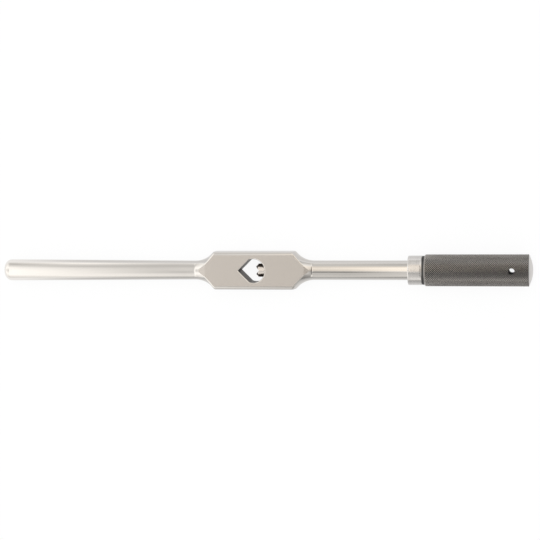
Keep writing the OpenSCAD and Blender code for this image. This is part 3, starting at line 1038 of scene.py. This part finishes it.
# Soft light that only metal mirrors. The key is how many degrees a mirrored ray leans towards
# -X. Each list goes round the tool: (degrees from straight up towards +Y, strength).
SOFT_LIGHT = {
    # Beyond the knurled end.
    -35: [(-90, 0.20), (-55, 0.35), (-30, 0.90), (40, 1.15), (65, 1.00), (90, 0.50)],
    # What the right facet mirrors.
    -2: [(-90, 0.30), (-40, 0.55), (-5, 0.40), (25, 0.90), (50, 1.00), (90, 0.55)],
    # A dark board between two strips of light, for the bands on the knurled sleeve.
    3: [(-100, 0.15), (-85, 0.40), (-70, 1.40), (-42, 0.25), (-15, 0.05), (30, 0.05),
        (55, 1.10), (85, 0.80), (105, 0.35)],
    # A bright card, for the ferrule.
    5.4: [(-90, 0.20), (-70, 0.80), (-25, 0.75), (0, 1.35), (30, 1.35), (55, 0.62), (90, 0.50)],
    # A narrow dark gap, for the line along the arm.
    8.2: [(-90, 0.37), (-72, 0.77), (-60, 0.58), (-27, 0.56), (-22, 0.13), (-16, 0.15),
          (-7, 0.72), (25, 1.05), (60, 0.65), (90, 0.70)],
    # Even light for the handle's neck, brighter towards its free end.
    14: [(-95, 0.40), (-70, 0.98), (-45, 0.95), (-30, 0.75), (15, 0.75), (55, 0.60), (90, 0.84)],
    17: [(-90, 0.70), (-70, 1.15), (-10, 1.10), (20, 0.98), (45, 0.66), (60, 0.80), (90, 1.30)],
    19.5: [(-85, 0.84), (-50, 1.32), (0, 1.36), (30, 1.18), (65, 0.58), (90, 0.80)],
    # Two bright strips, for the edges beside the left facet, and the white beyond them.
    24: [(-90, 0.70), (-45, 1.25), (-26, 1.15), (-12, 0.82), (6, 0.82), (20, 1.20), (30, 1.30),
         (60, 0.90), (90, 0.80)],
    50: [(-90, 1.00), (-40, 1.30), (0, 1.00), (40, 1.30), (90, 1.00)],
}
BRIGHTEST = 1.4  # highest strength in the lists; a ramp only holds up to 1, so it is scaled
PALE, WARM = (1.0, 0.985, 0.96), (1.0, 0.93, 0.84)
# Degrees between which the light turns warm: by lean, then up each side of the round.
WARM_LEAN, WARM_NEAR, WARM_FAR = (12, 9), (-15, 0), (60, 40)

# Painted glow and shade on the floor that only metal mirrors: (metres from the tool towards +Y,
# strength).
FLOOR_PAINTED_GLOW_AND_SHADE = [(-0.10, 0.42), (-0.057, 0.50), (-0.031, 0.62), (-0.020, 0.70), (-0.012, 0.85),
              (0.012, 0.80), (0.020, 0.68), (0.031, 0.66), (0.057, 0.74), (0.10, 0.80)]
# Places along X, in metres, between which the mirrored floor changes: it fades to plain white towards
# the plain handle's end, takes painted shade beside the knurled sleeve, and sheds most of that shade
# past the cap.
TO_WHITE = (-0.12, -0.20)
SLEEVE_SHADE, SLEEVE_FROM = 0.75, (0.115, 0.130)
CAP_SHADE, CAP_FROM = 0.07, (0.19, 0.20)


def tone_ramp(nodes, value, low, high, stops):
    """A grey ramp over a value, through the given stops, as shares of the highest strength."""
    place = nodes.add("ShaderNodeMapRange", {"Value": value, "From Min": low, "From Max": high})
    node = nodes.add("ShaderNodeValToRGB", {"Fac": place.outputs[0]})
    elements = node.color_ramp.elements
    while len(elements) > 1:
        elements.remove(elements[0])
    for i, (at, strength) in enumerate(stops):
        position = (at - low) / (high - low)
        element = elements[0] if i == 0 else elements.new(position)
        element.position = position
        element.color = rgba([strength / BRIGHTEST] * 3)
    return node.outputs[0]


class WRENCH_OT_stage(bpy.types.Operator):
    """Make the pale floor, the soft light and the camera"""

    bl_idname = "wrench.stage"
    bl_label = "Stage"

    def execute(self, context):
        stage = context.scene.tap_wrench.stage
        self.make_floor(stage)
        self.make_world(context)
        self.make_lamp(stage)
        self.make_camera(context, stage)
        return {"FINISHED"}

    def make_floor(self, stage):
        half, z = stage.floor_half, CAD_BOX[0][2]
        mesh = bpy.data.meshes.new("floor")
        mesh.from_pydata([(-half, -half, z), (half, -half, z), (half, half, z), (-half, half, z)],
                         [], [(0, 1, 2, 3)])
        floor = new_object("floor", mesh)
        material = bpy.data.materials.new("white floor")
        material.use_nodes = True
        nodes = Nodes(material.node_tree)
        shader = material.node_tree.nodes["Principled BSDF"]
        shader.inputs["Base Color"].default_value = (0.9, 0.9, 0.9, 1)
        shader.inputs["Roughness"].default_value = 0.9
        shader.inputs["Specular IOR Level"].default_value = 0.0
        path = nodes.add("ShaderNodeLightPath").outputs
        mirrored = nodes.math("MAXIMUM", path["Is Glossy Ray"], path["Is Transmission Ray"])
        seen = nodes.math("MAXIMUM", path["Is Camera Ray"], mirrored)
        # Camera rays see the plain white glow; mirrored rays see the floor's painted glow and shade.
        tone = nodes.mix(mirrored, WHITE, self.painted_floor_reflection(nodes))
        glow = nodes.add("ShaderNodeEmission", {"Color": tone, "Strength": 1.0})
        factor = nodes.math("MULTIPLY", seen, stage.floor_white)
        both = nodes.add("ShaderNodeMixShader", {0: factor, 1: shader.outputs[0],
                                                 2: glow.outputs[0]})
        nodes.put(material.node_tree.nodes["Material Output"].inputs[0], both.outputs[0])
        mesh.materials.append(material)

    def painted_floor_reflection(self, nodes):
        """Painted glow and shade on the floor, seen only by mirrored rays, by the distance from the
        tool and along it.
        """
        xyz = nodes.add("ShaderNodeSeparateXYZ", {
            "Vector": nodes.add("ShaderNodeTexCoord").outputs["Object"]}).outputs
        past_end = nodes.math("SUBTRACT", nodes.math("ABSOLUTE", xyz[0]), CAD_BOX[1][0])
        past_end = nodes.math("MAXIMUM", past_end, 0.0)
        away = nodes.math("SQRT", nodes.math("ADD", nodes.math("MULTIPLY", xyz[1], xyz[1]),
                                             nodes.math("MULTIPLY", past_end, past_end)))
        away = nodes.math("MULTIPLY", away, nodes.math("SIGN", xyz[1]))
        tone = tone_ramp(nodes, away, FLOOR_PAINTED_GLOW_AND_SHADE[0][0], FLOOR_PAINTED_GLOW_AND_SHADE[-1][0], FLOOR_PAINTED_GLOW_AND_SHADE)
        tone = nodes.vector("SCALE", tone)
        tone.node.inputs["Scale"].default_value = BRIGHTEST
        tone = nodes.mix(nodes.ramp_between(xyz[0], *TO_WHITE), tone, WHITE)
        less = SLEEVE_SHADE - CAP_SHADE
        shade = nodes.math("SUBTRACT", nodes.ramp_between(xyz[0], *SLEEVE_FROM, 0.0, SLEEVE_SHADE),
                           nodes.ramp_between(xyz[0], *CAP_FROM, 0.0, less))
        return nodes.mix(shade, tone, BLACK)

    def make_world(self, context):
        world = bpy.data.worlds.new("soft studio")
        context.scene.world = world
        world.use_nodes = True
        nodes = Nodes(world.node_tree)
        world.node_tree.nodes.clear()
        path = nodes.add("ShaderNodeLightPath").outputs
        plain = nodes.add("ShaderNodeBackground", {"Color": WHITE, "Strength": 1.0})
        soft = nodes.add("ShaderNodeBackground", {"Color": self.soft_dome(nodes),
                                                  "Strength": BRIGHTEST})
        both = nodes.add("ShaderNodeMixShader", {0: path["Is Glossy Ray"], 1: plain.outputs[0],
                                                 2: soft.outputs[0]})
        out = nodes.add("ShaderNodeOutputWorld")
        nodes.put(out.inputs[0], both.outputs[0])

    def soft_dome(self, nodes):
        """The soft light round the tool, mixed from one list to the next as rays lean."""
        xyz = nodes.add("ShaderNodeSeparateXYZ", {
            "Vector": nodes.add("ShaderNodeTexCoord").outputs["Generated"]}).outputs
        angle = nodes.math("DEGREES", nodes.math("ARCTAN2", xyz[1], xyz[2]))
        lean = nodes.math("DEGREES", nodes.math("ARCSINE", nodes.math("MULTIPLY", xyz[0], -1.0)))
        dome, last = None, 0.0
        for at, stops in SOFT_LIGHT.items():
            band = tone_ramp(nodes, angle, -180, 180, stops)
            if dome is None:
                dome, last = band, at
                continue
            share = nodes.add("ShaderNodeMapRange", {"Value": lean, "From Min": last, "From Max": at})
            dome, last = nodes.mix(share.outputs[0], dome, band), at
        warm = nodes.math("MULTIPLY", nodes.ramp_between(angle, *WARM_NEAR),
                          nodes.ramp_between(angle, *WARM_FAR))
        warm = nodes.math("MULTIPLY", warm, nodes.ramp_between(lean, *WARM_LEAN))
        return nodes.vector("MULTIPLY", dome, nodes.mix(warm, rgba(PALE), rgba(WARM)))

    def make_lamp(self, stage):
        lamp = bpy.data.lights.new("overhead softbox", "AREA")
        lamp.shape, lamp.size, lamp.energy = "DISK", stage.lamp_size, stage.lamp_power
        obj = new_object("overhead softbox", lamp)
        obj.location = stage.lamp_place
        obj.rotation_euler = (-obj.location).to_track_quat("-Z", "Y").to_euler()
        obj.visible_glossy = False

    def make_camera(self, context, stage):
        camera = bpy.data.cameras.new("camera")
        camera.lens, camera.sensor_width = stage.camera_lens, 36.0
        obj = new_object("camera", camera)
        aim = Vector(stage.camera_aim)
        back = Vector((math.tan(stage.lean_x), math.tan(stage.lean_y), 1)).normalized()
        right = (Vector((1, 0, 0)) - back * back.x).normalized()
        up = back.cross(right)
        turn = Matrix((right, up, back)).transposed().to_4x4()
        turn = turn @ Matrix.Rotation(stage.roll, 4, "Z")
        obj.matrix_world = Matrix.Translation(aim + back * stage.camera_distance) @ turn
        context.scene.camera = obj
        context.scene.view_settings.view_transform = "Standard"


# ---- Panel and registration ----


class WRENCH_PT_panel(bpy.types.Panel):
    """Lists the pieces of the tap wrench"""

    bl_idname = "WRENCH_PT_panel"
    bl_label = "Tap wrench"
    bl_space_type = "VIEW_3D"
    bl_region_type = "UI"
    bl_category = "Tap wrench"

    def draw(self, context):
        settings = context.scene.tap_wrench
        for name in ("body", "jaw", "sleeve", "trim", "colours", "stage"):
            group = getattr(settings, name)
            box = self.layout.box()
            box.label(text=type(group).__doc__)
            for prop in group.bl_rna.properties:
                if not prop.is_readonly and prop.identifier != "name":
                    box.prop(group, prop.identifier)
        for operator in OPERATORS:
            self.layout.operator(operator.bl_idname)


GROUPS = (ForgedBodySizes, JawRodSizes, KnurledSleeveSizes, FerruleCapSizes, FinishColours,
          StageSettings, TapWrenchSettings)
OPERATORS = (WRENCH_OT_stage, WRENCH_OT_forged_body, WRENCH_OT_jaw_rod, WRENCH_OT_knurled_sleeve,
             WRENCH_OT_ferrule_and_cap, WRENCH_OT_inner_parts)


def register():
    for cls in (*GROUPS, *OPERATORS, WRENCH_PT_panel):
        bpy.utils.register_class(cls)
    bpy.types.Scene.tap_wrench = PointerProperty(type=TapWrenchSettings)


def unregister():
    del bpy.types.Scene.tap_wrench
    for cls in reversed((*GROUPS, *OPERATORS, WRENCH_PT_panel)):
        bpy.utils.unregister_class(cls)


def main():
    register()
    for operator in OPERATORS:
        group, name = operator.bl_idname.split(".")
        getattr(getattr(bpy.ops, group), name)()


if __name__ == "__main__":
    main()
